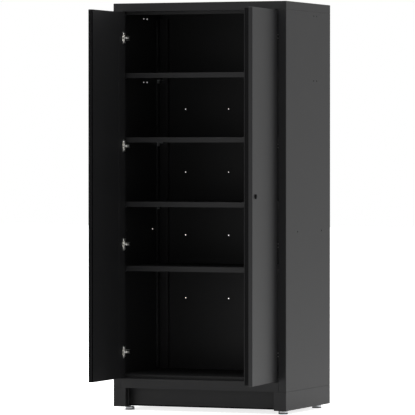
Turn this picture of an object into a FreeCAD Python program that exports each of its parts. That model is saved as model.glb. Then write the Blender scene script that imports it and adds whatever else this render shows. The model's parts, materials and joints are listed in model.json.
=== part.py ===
"""Tall two-door workshop cabinet of folded sheet steel, in millimetres.

The frame is the cabinet's own: +Z up, +X to the right, the front towards -Y, and the origin on the
floor under the middle of the body. The doors are stored open, swung about their hinge lines.
"""
import FreeCAD, Part
import math
import os
import re
import Sketcher

doc = FreeCAD.newDocument("WorkshopCabinet")

# Driving dimensions, one named cell each
sheet = doc.addObject("Spreadsheet::Sheet", "Dims")
DIMENSIONS = {
    "body_width": 920,
    "body_depth": 610,
    "body_height": 2000,
    "floor_gap": 20,
    "steel": 1.5,
    "bend_radius": 1,
    "seam_round": 1.2,
    "edge_gap": 2,
    "plinth_height": 93,
    "cap_height": 41,
    "stile_width": 41,
    "stile_return": 52,
    "rear_flange": 25,
    "rail_depth": 56,
    "header_drop": 15,
    "header_upstand": 26,
    "floor_level": 157,
    "post_width": 42,
    "post_depth": 26,
    "standard_width": 20,
    "standard_depth": 6,
    "standard_inset": 72,
    "standard_rear_inset": 52,
    "standard_end_gap": 12,
    "slot_width": 5,
    "slot_length": 16,
    "slot_pitch": 40,
    "shelf_count": 4,
    "shelf_first": 696,
    "shelf_slots": 8,
    "shelf_lip": 25,
    "shelf_front": 64,
    "shelf_gap": 2,
    "clip_width": 24,
    "clip_reach": 22,
    "clip_drop": 18,
    "door_thickness": 21,
    "door_gap": 3,
    "door_sill": 144,
    "door_steel": 1.2,
    "liner_reveal": 1,
    "hinge_flange": 82,
    "edge_slot": 4,
    "left_open": 89,
    "right_open": 94.5,
    "hinge_outer": 778,
    "hinge_inner": 243.5,
    "cup_radius": 17.5,
    "cup_inset": 22.5,
    "cup_depth": 11,
    "cup_wall": 1.2,
    "flange_height": 62,
    "flange_width": 22,
    "flange_thickness": 1.5,
    "plate_height": 56,
    "plate_thickness": 3,
    "plate_front": 27,
    "arm_front": 30,
    "arm_length": 30,
    "arm_depth": 14,
    "arm_height": 18,
    "arm_nose": 16,
    "link_height": 7,
    "link_width": 8,
    "link_reach": 44,
    "hinge_clearance": 3,
    "overlap_reach": 15,
    "overlap_seat": 20,
    "channel_inset": 25,
    "channel_width": 48,
    "channel_depth": 30,
    "lock_height": 1051,
    "lock_flange_radius": 11,
    "lock_barrel_radius": 9,
    "lock_flange_thickness": 5.5,
    "lock_barrel_length": 25,
    "key_radius": 6,
    "key_length": 27.5,
    "keyway_width": 1.6,
    "keyway_length": 8,
    "keyway_depth": 6,
    "cam_thickness": 2.5,
    "cam_radius": 14,
    "pin_offset": 7,
    "pin_radius": 2.5,
    "pin_length": 6.5,
    "pin_play": 0.65,
    "yoke_gap": 1,
    "yoke_thickness": 4,
    "yoke_inner": 1.5,
    "yoke_outer": 16,
    "yoke_margin": 6,
    "yoke_neck": 26,
    "yoke_overlap": 14,
    "running_clearance": 0.05,
    "hole_clearance": 0.3,
    "rod_radius": 4,
    "rod_setback": 15,
    "rod_start": 34,
    "rod_end_gap": 2,
    "rod_hole_radius": 6,
    "guide_width": 22,
    "guide_height": 8,
    "guide_spread": 560,
    "guide_middle": 90,
    "leg_width": 65,
    "leg_return": 40,
    "kick_recess": 65,
    "kick_reach": 40,
    "kick_lip": 8,
    "kick_lift": 5,
    "foot_side_inset": 50,
    "foot_front_inset": 90,
    "foot_rear_inset": 59,
    "bracket_width": 80,
    "bracket_length": 64,
    "bracket_thickness": 3,
    "bracket_height": 42,
    "nut_radius": 9.8,
    "nut_height": 8,
    "pad_radius": 23.5,
    "pad_height": 5,
    "pad_round": 1.5,
    "wrench_radius": 8.1,
    "wrench_height": 6,
    "stem_radius": 5,
    "stem_length": 87,
    "link_hole_radius": 4,
    "pair_spacing": 42,
    "pair_setback": 398,
    "pair_top_drop": 63,
    "pair_rise": 321,
    "single_height": 872,
    "single_front": 157,
    "single_rear": 488,
    "wall_hole_radius": 4,
    "wall_hole_first": 519,
    "wall_hole_pitch": 321,
    "wall_hole_inner": 90,
    "wall_hole_outer": 327,
}
for row, (name, size) in enumerate(DIMENSIONS.items(), 1):
    sheet.set("A%d" % row, name)
    sheet.set("B%d" % row, str(size))
    sheet.setAlias("B%d" % row, name)
doc.recompute()


def bound(formula):
    """Turn a formula of cell names into an expression on the sheet."""
    return re.sub(r"\b[a-z]\w*", lambda word: "Dims." + word.group(0), formula)


def size_of(formula):
    """What a formula of cell names comes to."""
    numbers = re.sub(r"\b[a-z]\w*", lambda word: str(DIMENSIONS[word.group(0)]), formula)
    return FreeCAD.Units.parseQuantity(numbers).Value


# Formulas that several pieces share, all measured in the cabinet's frame
FRONT = "(-body_depth / 2)"
BACK = "(body_depth / 2)"
HALF = "(body_width / 2)"
BASE = "floor_gap"
PLINTH_TOP = "(floor_gap + plinth_height)"
CAP_BOTTOM = "(floor_gap + body_height - cap_height)"
FLOOR_TOP = "(floor_gap + floor_level)"
WEB_FACE = "(body_width / 2 - steel)"
BACK_FACE = "(body_depth / 2 - 2 * steel)"
DOOR_BOTTOM = "(floor_gap + door_sill)"
DOOR_HEIGHT = "(body_height - cap_height - door_gap - door_sill)"
DOOR_WIDTH = "((body_width - 2 * stile_width - 3 * door_gap) / 2)"
LINER_BASE = "(door_thickness - 2 * door_steel)"
LINER_FACE = "(door_thickness - door_steel)"
STANDARD_FACE = "(body_width / 2 - steel - standard_depth)"
SIDES = {"left": "-1 * ", "right": ""}
OPENING = {"left": "-left_open", "right": "right_open"}


def mirrored(side, formula):
    """A formula for a distance to the right, or the same distance to the left."""
    return SIDES[side] + "(" + formula + ")"


def new_body(label):
    body = doc.addObject("PartDesign::Body", label)
    body.Label = label
    body.AllowCompound = True
    return body


def new_sketch(body, plane, offset="0"):
    """A sketch on one of the body's own origin planes, moved along the plane's normal."""
    support = [item for item in body.Origin.OriginFeatures if item.Role == plane + "_Plane"][0]
    sketch = body.newObject("Sketcher::SketchObject", body.Label + "_sketch")
    sketch.AttachmentSupport = (support, "")
    sketch.MapMode = "FlatFace"
    sketch.setExpression("AttachmentOffset.Base.z", bound(offset))
    return sketch


def pin_point(sketch, edge, end, place):
    """Hold one point of a sketch at a pair of formulas."""
    for kind, formula in zip(("DistanceX", "DistanceY"), place):
        index = sketch.addConstraint(Sketcher.Constraint(kind, edge, end, size_of(formula)))
        sketch.setExpression("Constraints[%d]" % index, bound(formula))


def add_outline(sketch, corners):
    """A closed outline of straight edges through corners given as pairs of formulas."""
    points = [FreeCAD.Vector(size_of(x), size_of(y), 0) for x, y in corners]
    first = sketch.GeometryCount
    count = len(points)
    for step in range(count):
        sketch.addGeometry(Part.LineSegment(points[step], points[(step + 1) % count]))
    for step in range(count):
        following = first + (step + 1) % count
        sketch.addConstraint(Sketcher.Constraint("Coincident", first + step, 2, following, 1))
    for step, corner in enumerate(corners):
        pin_point(sketch, first + step, 1, corner)


def add_rectangle(sketch, low, high):
    add_outline(sketch, [low, (high[0], low[1]), high, (low[0], high[1])])


def add_circle(sketch, centre, radius):
    middle = FreeCAD.Vector(size_of(centre[0]), size_of(centre[1]), 0)
    circle = sketch.addGeometry(Part.Circle(middle, FreeCAD.Vector(0, 0, 1), size_of(radius)))
    pin_point(sketch, circle, 3, centre)
    index = sketch.addConstraint(Sketcher.Constraint("Radius", circle, size_of(radius)))
    sketch.setExpression("Constraints[%d]" % index, bound(radius))


def add_feature(body, kind, sketch, length, backwards=False):
    """Pad or pocket a sketch by a length, and make sure that it changed the body."""
    before = body.Shape.Volume if body.Tip else 0.0
    feature = body.newObject("PartDesign::" + kind, body.Label + "_" + kind.lower())
    feature.Profile = sketch
    feature.setExpression("Length", bound(length))
    feature.Reversed = backwards
    doc.recompute()
    change = body.Shape.Volume - before
    if (change <= 0) == (kind == "Pad"):
        raise ValueError("%s of %s changed the volume by %.3f" % (kind, body.Label, change))
    return feature


TOUCH = 0.001


def round_edges(body, radius, wanted):
    """Round the edges of a body that a test picks."""
    base = body.Tip
    names = ["Edge%d" % number for number, edge in enumerate(base.Shape.Edges, 1) if wanted(edge)]
    if not names:
        raise ValueError("%s has no edge to round" % body.Label)
    rounded = body.newObject("PartDesign::Fillet", body.Label + "_round")
    rounded.Base = (base, names)
    rounded.setExpression("Radius", bound(radius))
    doc.recompute()


def lies_on(edge, axis, level):
    """Whether all of an edge lies at one level of the x, y or z axis."""
    box = edge.BoundBox
    low = getattr(box, axis.upper() + "Min")
    high = getattr(box, axis.upper() + "Max")
    return abs(low - level) < TOUCH and abs(high - level) < TOUCH


def on_any(edge, axis, levels):
    return any(lies_on(edge, axis, level) for level in levels)


def bend_corners(outline, sheet_steel):
    """The outside and the inside corners where a folded section turns, leaving out its sheet ends."""
    points = [FreeCAD.Vector(size_of(x), size_of(y), 0) for x, y in outline]
    count = len(points)
    sides = [points[(step + 1) % count] - points[step] for step in range(count)]
    turning = sum(points[step].cross(points[(step + 1) % count]).z for step in range(count))
    outside, inside = [], []
    for step in range(count):
        before, after = sides[step - 1], sides[step]
        if min(before.Length, after.Length) < size_of(sheet_steel) + TOUCH:
            continue
        bulges = before.cross(after).z * turning > 0
        (outside if bulges else inside).append(points[step])
    return outside, inside


def folded(label, plane, outline, start, length, sheet_steel="steel"):
    """One bent sheet: its folded section, drawn on a plane, carried along the plane's normal."""
    body = new_body(label)
    sketch = new_sketch(body, plane, start)
    add_outline(sketch, outline)
    add_feature(body, "Pad", sketch, length)
    outside, inside = bend_corners(outline, sheet_steel)
    for corners, radius in ((outside, "bend_radius + " + sheet_steel), (inside, "bend_radius")):
        if corners:
            round_edges(body, radius, lambda edge: any(
                lies_on(edge, plane[0], corner.x) and lies_on(edge, plane[1], corner.y)
                for corner in corners))
    return body


def drill(body, plane, offset, holes, depth, backwards=False):
    """Round holes, each a centre and a radius, cut from a plane offset to a depth."""
    sketch = new_sketch(body, plane, offset)
    for centre, radius in holes:
        add_circle(sketch, centre, radius)
    add_feature(body, "Pocket", sketch, depth, backwards)


def swing(body, side):
    """Place a door piece, drawn about its hinge line, at the stile and turn it open."""
    hinge = mirrored(side, HALF + " - stile_width - door_gap")
    place = "create(<<vector>>; %s; %s; 0)" % (bound(hinge), bound(FRONT))
    turn = "create(<<rotation>>; create(<<vector>>; 0; 0; 1); %s)" % bound(OPENING[side])
    body.setExpression("Placement", "create(<<placement>>; %s; %s)" % (place, turn))
    return body


def across(side, formula):
    """A distance from a door's hinge line towards its free edge."""
    return {"left": "", "right": "-1 * "}[side] + "(" + formula + ")"


nodes = []
FACES_X = [size_of("-1 * " + HALF), size_of(HALF)]
FACES_Y = [size_of(FRONT), size_of(BACK)]


def round_seams(body, levels):
    """Ease a sheet's outer edges at the heights where it meets the next sheet."""
    heights = [size_of(level) for level in levels]
    round_edges(body, "seam_round", lambda edge: on_any(edge, "z", heights) and (
        on_any(edge, "x", FACES_X) or on_any(edge, "y", FACES_Y)))


# Side panels: web, front stile with its return, and rear flange, folded from one sheet
PAIR_TOP = "(floor_gap + body_height - pair_top_drop)"
for side in SIDES:
    outline = [
        (HALF, FRONT),
        (HALF, BACK),
        (HALF + " - rear_flange", BACK),
        (HALF + " - rear_flange", BACK + " - steel"),
        (WEB_FACE, BACK + " - steel"),
        (WEB_FACE, FRONT + " + steel"),
        (HALF + " - stile_width + steel", FRONT + " + steel"),
        (HALF + " - stile_width + steel", FRONT + " + stile_return"),
        (HALF + " - stile_width", FRONT + " + stile_return"),
        (HALF + " - stile_width", FRONT),
    ]
    outline = [(mirrored(side, x), y) for x, y in outline]
    panel = folded(side + "_side_panel", "XY", outline, PLINTH_TOP, CAP_BOTTOM + " - " + PLINTH_TOP)
    round_seams(panel, [PLINTH_TOP, CAP_BOTTOM])
    holes = []
    for level in (PAIR_TOP, PAIR_TOP + " - pair_rise"):
        for half in ("- pair_spacing / 2", "+ pair_spacing / 2"):
            holes.append((FRONT + " + pair_setback " + half, level))
    for setback in ("single_front", "single_rear"):
        holes.append((FRONT + " + " + setback, BASE + " + single_height"))
    drill(panel, "YZ", mirrored(side, HALF), [(hole, "link_hole_radius") for hole in holes], "steel",
          side == "left")
    nodes.append(panel)

# Back panel, seated inside the rear flanges
BACK_EDGE = "(" + WEB_FACE + " - edge_gap)"
back = folded("back_panel", "XY", [
    ("-1 * " + BACK_EDGE, BACK_FACE),
    (BACK_EDGE, BACK_FACE),
    (BACK_EDGE, BACK_FACE + " + steel"),
    ("-1 * " + BACK_EDGE, BACK_FACE + " + steel"),
], PLINTH_TOP, CAP_BOTTOM + " - " + PLINTH_TOP)
wall_holes = []
for column in ("-wall_hole_outer", "-wall_hole_inner", "wall_hole_inner", "wall_hole_outer"):
    for row in range(4):
        wall_holes.append((column, "floor_gap + wall_hole_first + %d * wall_hole_pitch" % row))
drill(back, "XZ", "-1 * (" + BACK_FACE + " + steel)", [(hole, "wall_hole_radius") for hole in wall_holes],
      "steel", True)
nodes.append(back)

# Top cap: a pan turned upside down, whose front edge is the fascia
cap = new_body("top_cap")
sketch = new_sketch(cap, "XY", CAP_BOTTOM)
add_rectangle(sketch, ("-1 * " + HALF, FRONT), (HALF, BACK))
add_feature(cap, "Pad", sketch, "cap_height")
sketch = new_sketch(cap, "XY", CAP_BOTTOM)
add_rectangle(sketch, ("-1 * " + WEB_FACE, FRONT + " + steel"), (WEB_FACE, BACK + " - steel"))
add_feature(cap, "Pocket", sketch, "cap_height - steel", True)
cap_top = size_of(CAP_BOTTOM + " + cap_height")
round_edges(cap, "bend_radius + steel", lambda edge: (
    (on_any(edge, "x", FACES_X) and on_any(edge, "y", FACES_Y))
    or (lies_on(edge, "z", cap_top) and (on_any(edge, "x", FACES_X) or on_any(edge, "y", FACES_Y)))))
round_seams(cap, [CAP_BOTTOM])
nodes.append(cap)

# Header rail: an upstand behind the fascia, a soffit over the doors and a lip at its back
STILE_EDGE = "(body_width / 2 - stile_width)"
SOFFIT = CAP_BOTTOM
header = folded("header_rail", "YZ", [
    (FRONT + " + steel", SOFFIT),
    (FRONT + " + rail_depth - steel", SOFFIT),
    (FRONT + " + rail_depth - steel", SOFFIT + " - header_drop"),
    (FRONT + " + rail_depth", SOFFIT + " - header_drop"),
    (FRONT + " + rail_depth", SOFFIT + " + steel"),
    (FRONT + " + 2 * steel", SOFFIT + " + steel"),
    (FRONT + " + 2 * steel", SOFFIT + " + header_upstand"),
    (FRONT + " + steel", SOFFIT + " + header_upstand"),
], "-1 * " + STILE_EDGE, "2 * " + STILE_EDGE)
ROD_X = "(door_gap / 2 + channel_inset + channel_width / 2)"
ROD_Y = "(-body_depth / 2 + " + LINER_FACE + " + rod_setback)"
drill(header, "XY", SOFFIT, [((ROD_X, ROD_Y), "rod_hole_radius")], "steel", True)
nodes.append(header)

# Bottom rail: the face under the doors and the sill that runs back to the floor panel
SILL = "(floor_gap + door_sill - door_gap)"
rail = folded("bottom_rail", "YZ", [
    (FRONT, PLINTH_TOP),
    (FRONT + " + steel", PLINTH_TOP),
    (FRONT + " + steel", SILL + " - steel"),
    (FRONT + " + rail_depth - steel", SILL + " - steel"),
    (FRONT + " + rail_depth - steel", SILL),
    (FRONT, SILL),
], "-1 * " + STILE_EDGE, "2 * " + STILE_EDGE)
drill(rail, "XY", SILL, [((ROD_X, ROD_Y), "rod_hole_radius")], "steel")
nodes.append(rail)

# Floor panel: a folded tray floor with a lip down to the sill
floor = folded("floor_panel", "YZ", [
    (FRONT + " + rail_depth - steel", SILL + " - steel"),
    (FRONT + " + rail_depth", SILL + " - steel"),
    (FRONT + " + rail_depth", FLOOR_TOP + " - steel"),
    (BACK_FACE, FLOOR_TOP + " - steel"),
    (BACK_FACE, FLOOR_TOP),
    (FRONT + " + rail_depth - steel", FLOOR_TOP),
], "-1 * " + WEB_FACE, "2 * " + WEB_FACE)
nodes.append(floor)

# Rear corner posts: angles that box in the corners between the sides and the back panel
POST_LENGTH = CAP_BOTTOM + " - header_drop - " + FLOOR_TOP
POST_EDGE = "(" + WEB_FACE + " - post_width)"
POST_FACE = "(" + BACK_FACE + " - post_depth)"
for side in SIDES:
    outline = [
        (WEB_FACE, POST_FACE),
        (POST_EDGE, POST_FACE),
        (POST_EDGE, BACK_FACE),
        (POST_EDGE + " + steel", BACK_FACE),
        (POST_EDGE + " + steel", POST_FACE + " + steel"),
        (WEB_FACE, POST_FACE + " + steel"),
    ]
    outline = [(mirrored(side, x), y) for x, y in outline]
    nodes.append(folded(side + "_rear_post", "XY", outline, FLOOR_TOP, POST_LENGTH))

# Shelf standards: slotted channels on the side panels that carry the shelf clips
STANDARD_PLACES = {
    "front": FRONT + " + standard_inset",
    "rear": BACK_FACE + " - standard_rear_inset - standard_width",
}
STANDARD_LENGTH = POST_LENGTH + " - 2 * standard_end_gap"
for side in SIDES:
    for position, start in STANDARD_PLACES.items():
        outline = [
            (WEB_FACE, start),
            (STANDARD_FACE, start),
            (STANDARD_FACE, start + " + standard_width"),
            (WEB_FACE, start + " + standard_width"),
            (WEB_FACE, start + " + standard_width - steel"),
            (STANDARD_FACE + " + steel", start + " + standard_width - steel"),
            (STANDARD_FACE + " + steel", start + " + steel"),
            (WEB_FACE, start + " + steel"),
        ]
        outline = [(mirrored(side, x), y) for x, y in outline]
        label = "%s_%s_standard" % (side, position)
        standard = folded(label, "XY", outline, FLOOR_TOP + " + standard_end_gap", STANDARD_LENGTH)
        sketch = new_sketch(standard, "YZ", mirrored(side, STANDARD_FACE))
        middle = start + " + standard_width / 2"
        low = FLOOR_TOP + " + 2 * standard_end_gap"
        add_rectangle(sketch, (middle + " - slot_width / 2", low),
                      (middle + " + slot_width / 2", low + " + slot_length"))
        slot = add_feature(standard, "Pocket", sketch, "steel", side == "right")
        rows = standard.newObject("PartDesign::LinearPattern", label + "_slots")
        rows.Originals = [slot]
        rows.Direction = (sketch, ["V_Axis"])
        room = "(" + STANDARD_LENGTH + " - 2 * standard_end_gap - slot_length)"
        rows.setExpression("Occurrences", "floor(" + bound(room + " / slot_pitch") + ") + 1")
        rows.setExpression("Length", "floor(%s) * Dims.slot_pitch" % bound(room + " / slot_pitch"))
        standard.Tip = rows
        doc.recompute()
        nodes.append(standard)

# Shelves: trays with their lips turned down, notched round the rear posts and resting on clips
SHELF_EDGE = "(" + STANDARD_FACE + " - shelf_gap)"
SHELF_FRONT = "(" + FRONT + " + shelf_front)"


def shelf_outline(inset):
    """The tray's edge, notched at its rear corners, or a line that far inside it."""
    right = SHELF_EDGE + " - " + inset
    notch = POST_EDGE + " - shelf_gap - " + inset
    step = POST_FACE + " - shelf_gap - " + inset
    rear = BACK_FACE + " - shelf_gap - " + inset
    half = [(right, SHELF_FRONT + " + " + inset), (right, step), (notch, step), (notch, rear)]
    return half + [("-1 * (" + x + ")", y) for x, y in reversed(half)]


shelf_levels = []
for number in range(int(size_of("shelf_count"))):
    level = "(floor_gap + shelf_first + %d * shelf_slots * slot_pitch)" % number
    shelf_levels.append(level)
    shelf = new_body("shelf_%d" % (number + 1))
    sketch = new_sketch(shelf, "XY", level)
    add_outline(sketch, shelf_outline("0"))
    add_feature(shelf, "Pad", sketch, "shelf_lip", True)
    sketch = new_sketch(shelf, "XY", level + " - shelf_lip")
    add_outline(sketch, shelf_outline("steel"))
    add_feature(shelf, "Pocket", sketch, "shelf_lip - steel", True)
    round_edges(shelf, "bend_radius + steel", lambda edge: (
        lies_on(edge, "z", size_of(level)) and lies_on(edge, "y", size_of(SHELF_FRONT))))
    nodes.append(shelf)

# Shelf clips: small angles hooked on the standards, four under each shelf
clips = new_body("shelf_clips")
for start in STANDARD_PLACES.values():
    centre = "(" + start + " + standard_width / 2)"
    sketch = new_sketch(clips, "XZ", "-1 * (" + centre + " + clip_width / 2)")
    for side in SIDES:
        for level in shelf_levels:
            seat = level + " - shelf_lip"
            outline = [
                (STANDARD_FACE, seat),
                (STANDARD_FACE + " - clip_reach", seat),
                (STANDARD_FACE + " - clip_reach", seat + " - shelf_gap"),
                (STANDARD_FACE + " - shelf_gap", seat + " - shelf_gap"),
                (STANDARD_FACE + " - shelf_gap", seat + " - clip_drop"),
                (STANDARD_FACE, seat + " - clip_drop"),
            ]
            add_outline(sketch, [(mirrored(side, x), z) for x, z in outline])
    add_feature(clips, "Pad", sketch, "clip_width")
nodes.append(clips)

# Door skins, liners and the concealed hinges, drawn closed about the hinge line
DOOR_MIDDLE = "(" + DOOR_BOTTOM + " + " + DOOR_HEIGHT + " / 2)"
HINGE_LEVELS = [DOOR_MIDDLE + offset for offset in
                (" - hinge_outer", " - hinge_inner", " + hinge_inner", " + hinge_outer")]
LOCK_LEVEL = "(floor_gap + lock_height)"
LOCK_X = "(" + DOOR_WIDTH + " - channel_inset - channel_width / 2)"
FLANGE_ENDS = (" - (flange_height - flange_width) / 2", " + (flange_height - flange_width) / 2")
LINER_HEIGHT = "(" + DOOR_HEIGHT + " - 2 * liner_reveal)"
for side in SIDES:
    cup_centres = [(across(side, "cup_inset"), level) for level in HINGE_LEVELS]
    cup_holes = [(centre, "cup_radius + hole_clearance") for centre in cup_centres]

    # The skin is a pan of the door's full face, with a deep flange folded over at the hinge side
    skin = new_body(side + "_door_skin")
    sketch = new_sketch(skin, "XY", DOOR_BOTTOM)
    add_rectangle(sketch, ("0", "0"), (across(side, DOOR_WIDTH), LINER_BASE))
    add_feature(skin, "Pad", sketch, DOOR_HEIGHT)
    sketch = new_sketch(skin, "XY", DOOR_BOTTOM + " + door_steel")
    add_rectangle(sketch, (across(side, "door_steel"), "door_steel"),
                  (across(side, DOOR_WIDTH + " - door_steel"), LINER_BASE))
    add_feature(skin, "Pocket", sketch, DOOR_HEIGHT + " - 2 * door_steel", True)
    edges_x = [0, size_of(across(side, DOOR_WIDTH))]
    edges_z = [size_of(DOOR_BOTTOM), size_of(DOOR_BOTTOM + " + " + DOOR_HEIGHT)]
    round_edges(skin, "bend_radius + door_steel", lambda edge: (
        (lies_on(edge, "y", 0) and (on_any(edge, "x", edges_x) or on_any(edge, "z", edges_z)))
        or (on_any(edge, "x", edges_x) and on_any(edge, "z", edges_z))))
    sketch = new_sketch(skin, "XY", DOOR_BOTTOM + " + liner_reveal")
    add_outline(sketch, [(across(side, x), y) for x, y in [
        ("0", LINER_BASE),
        ("0", "door_thickness"),
        ("hinge_flange", "door_thickness"),
        ("hinge_flange", LINER_FACE),
        ("door_steel", LINER_FACE),
        ("door_steel", LINER_BASE),
    ]])
    add_feature(skin, "Pad", sketch, LINER_HEIGHT)
    round_edges(skin, "bend_radius + door_steel", lambda edge: (
        lies_on(edge, "x", 0) and lies_on(edge, "y", size_of("door_thickness"))))
    drill(skin, "XZ", "-1 * door_thickness", cup_holes, "door_steel", True)
    if side == "left":
        # A slot down the free edge, beside the overlap strip
        sketch = new_sketch(skin, "XY", DOOR_BOTTOM + " + overlap_seat")
        add_rectangle(sketch, (across(side, DOOR_WIDTH + " - door_steel"), LINER_BASE + " - edge_slot"),
                      (across(side, DOOR_WIDTH), LINER_BASE))
        add_feature(skin, "Pocket", sketch, DOOR_HEIGHT + " - 2 * overlap_seat", True)

    # The liner closes the pan and is pierced for the hinge cups
    liner = new_body(side + "_door_liner")
    sketch = new_sketch(liner, "XY", DOOR_BOTTOM + " + liner_reveal")
    add_rectangle(sketch, (across(side, "door_steel"), LINER_BASE),
                  (across(side, DOOR_WIDTH + " - liner_reveal"), LINER_FACE))
    add_feature(liner, "Pad", sketch, LINER_HEIGHT)
    drill(liner, "XZ", "-1 * " + LINER_FACE, cup_holes, "door_steel", True)

    # Hinge cups: a drawn cup under an upright flange with round ends that lies on the door
    cups = new_body(side + "_hinge_cups")
    sketch = new_sketch(cups, "XZ", "-1 * door_thickness")
    for centre in cup_centres:
        add_circle(sketch, centre, "cup_radius")
    add_feature(cups, "Pad", sketch, "cup_depth")
    sketch = new_sketch(cups, "XZ", "-1 * (door_thickness + flange_thickness)")
    for level in HINGE_LEVELS:
        add_rectangle(
            sketch,
            (across(side, "cup_inset - flange_width / 2"), level + FLANGE_ENDS[0]),
            (across(side, "cup_inset + flange_width / 2"), level + FLANGE_ENDS[1]))
    add_feature(cups, "Pad", sketch, "flange_thickness")
    sketch = new_sketch(cups, "XZ", "-1 * (door_thickness + flange_thickness)")
    for level in HINGE_LEVELS:
        for end in FLANGE_ENDS:
            add_circle(sketch, (across(side, "cup_inset"), level + end), "flange_width / 2")
    add_feature(cups, "Pad", sketch, "flange_thickness")
    sketch = new_sketch(cups, "XZ", "-1 * (door_thickness + flange_thickness)")
    for centre in cup_centres:
        add_circle(sketch, centre, "cup_radius - cup_wall")
    add_feature(cups, "Pocket", sketch, "cup_depth + flange_thickness - cup_wall", True)

    # Hinge links: cranked plates from the cup's floor into the arm
    links = new_body(side + "_hinge_links")
    CUP_FLOOR = "(door_thickness - cup_depth + cup_wall)"
    MOUTH = "(door_thickness + flange_thickness)"
    for level in HINGE_LEVELS:
        sketch = new_sketch(links, "XY", level + " - link_height / 2")
        add_outline(sketch, [(across(side, x), y) for x, y in [
            ("cup_inset - link_width / 2", CUP_FLOOR),
            ("cup_inset + link_width / 2", CUP_FLOOR),
            ("cup_inset + link_width / 2", MOUTH),
            ("cup_inset - link_width / 2", MOUTH + " + link_width"),
            ("hinge_clearance + link_width", MOUTH + " + link_width"),
            ("hinge_clearance + link_width", "link_reach"),
            ("hinge_clearance", "link_reach"),
            ("hinge_clearance", MOUTH),
            ("cup_inset - link_width / 2", MOUTH),
        ]])
        add_feature(links, "Pad", sketch, "link_height")
    for piece in (skin, liner, cups, links):
        nodes.append(swing(piece, side))

# Carcass side of the hinges: a plate on the stile's return and an open arm over it
for side in SIDES:
    plates = new_body(side + "_hinge_plates")
    arms = new_body(side + "_hinge_arms")
    PLATE_FACE = "(" + HALF + " - stile_width)"
    ARM_FACE = "(" + HALF + " - stile_width - plate_thickness)"
    for level in HINGE_LEVELS:
        sketch = new_sketch(plates, "XY", level + " - plate_height / 2")
        add_rectangle(sketch, (mirrored(side, PLATE_FACE), FRONT + " + plate_front"),
                      (mirrored(side, ARM_FACE), FRONT + " + stile_return"))
        add_feature(plates, "Pad", sketch, "plate_height")
        sketch = new_sketch(arms, "XY", level + " - arm_height / 2")
        add_outline(sketch, [(mirrored(side, x), y) for x, y in [
            (ARM_FACE, FRONT + " + arm_front"),
            (ARM_FACE, FRONT + " + arm_front + arm_length"),
            (ARM_FACE + " - arm_depth", FRONT + " + arm_front + arm_length"),
            (ARM_FACE + " - arm_depth - arm_nose", FRONT + " + arm_front + arm_nose / 2"),
            (ARM_FACE + " - arm_depth - arm_nose", FRONT + " + arm_front - hinge_clearance"),
            (ARM_FACE + " - arm_depth", FRONT + " + arm_front - hinge_clearance"),
        ]])
        add_feature(arms, "Pad", sketch, "arm_height")
        sketch = new_sketch(arms, "XY", level + " - arm_height / 2 + steel")
        beyond = ARM_FACE + " - arm_depth - 2 * arm_nose"
        add_rectangle(sketch, (mirrored(side, ARM_FACE + " - steel"), FRONT),
                      (mirrored(side, beyond), FRONT + " + 2 * arm_length"))
        add_feature(arms, "Pocket", sketch, "arm_height - 2 * steel", True)
    nodes.append(plates)
    nodes.append(arms)

# Overlap strip on the left door, joggled so that it lies behind the right door's edge
strip = new_body("left_overlap_strip")
sketch = new_sketch(strip, "XY", DOOR_BOTTOM + " + liner_reveal")
EDGE = DOOR_WIDTH
add_outline(sketch, [
    (EDGE + " - overlap_seat", LINER_FACE),
    (EDGE + " - liner_reveal", LINER_FACE),
    (EDGE + " - liner_reveal", LINER_FACE + " + door_steel"),
    (EDGE + " + overlap_reach", LINER_FACE + " + door_steel"),
    (EDGE + " + overlap_reach", LINER_FACE + " + 2 * door_steel"),
    (EDGE + " - overlap_seat / 2", LINER_FACE + " + 2 * door_steel"),
    (EDGE + " - overlap_seat / 2", LINER_FACE + " + door_steel"),
    (EDGE + " - overlap_seat", LINER_FACE + " + door_steel"),
])
add_feature(strip, "Pad", sketch, LINER_HEIGHT)
nodes.append(swing(strip, "left"))

# Lock channel: a full-height cover on the right door that hides the locking rods
NEAR = "(" + DOOR_WIDTH + " - channel_inset - channel_width)"
FAR = "(" + DOOR_WIDTH + " - channel_inset)"
DEEP = "(" + LINER_FACE + " + channel_depth)"
channel = folded("right_lock_channel", "XY", [(across("right", x), y) for x, y in [
    (NEAR, LINER_FACE),
    (NEAR, DEEP),
    (FAR, DEEP),
    (FAR, LINER_FACE),
    (FAR + " - door_steel", LINER_FACE),
    (FAR + " - door_steel", DEEP + " - door_steel"),
    (NEAR + " + door_steel", DEEP + " - door_steel"),
    (NEAR + " + door_steel", LINER_FACE),
]], DOOR_BOTTOM + " + liner_reveal", LINER_HEIGHT, "door_steel")
nodes.append(swing(channel, "right"))

# Lock: a flanged housing through the door, with the key cylinder and its cam inside
LOCK = (across("right", LOCK_X), LOCK_LEVEL)
skin = [node for node in nodes if node.Label == "right_door_skin"][0]
liner = [node for node in nodes if node.Label == "right_door_liner"][0]
lock_hole = [(LOCK, "lock_barrel_radius + hole_clearance")]
drill(skin, "XZ", "-1 * door_steel", lock_hole, "door_steel", True)
drill(liner, "XZ", "-1 * " + LINER_FACE, lock_hole, "door_steel", True)
housing = new_body("lock_housing")
sketch = new_sketch(housing, "XZ", "0")
add_circle(sketch, LOCK, "lock_flange_radius")
add_feature(housing, "Pad", sketch, "lock_flange_thickness")
sketch = new_sketch(housing, "XZ", "-1 * lock_barrel_length")
add_circle(sketch, LOCK, "lock_barrel_radius")
add_feature(housing, "Pad", sketch, "lock_barrel_length")
drill(housing, "XZ", "-1 * lock_barrel_length", [(LOCK, "key_radius + running_clearance")],
      "lock_barrel_length + lock_flange_thickness", True)
nodes.append(swing(housing, "right"))

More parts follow.
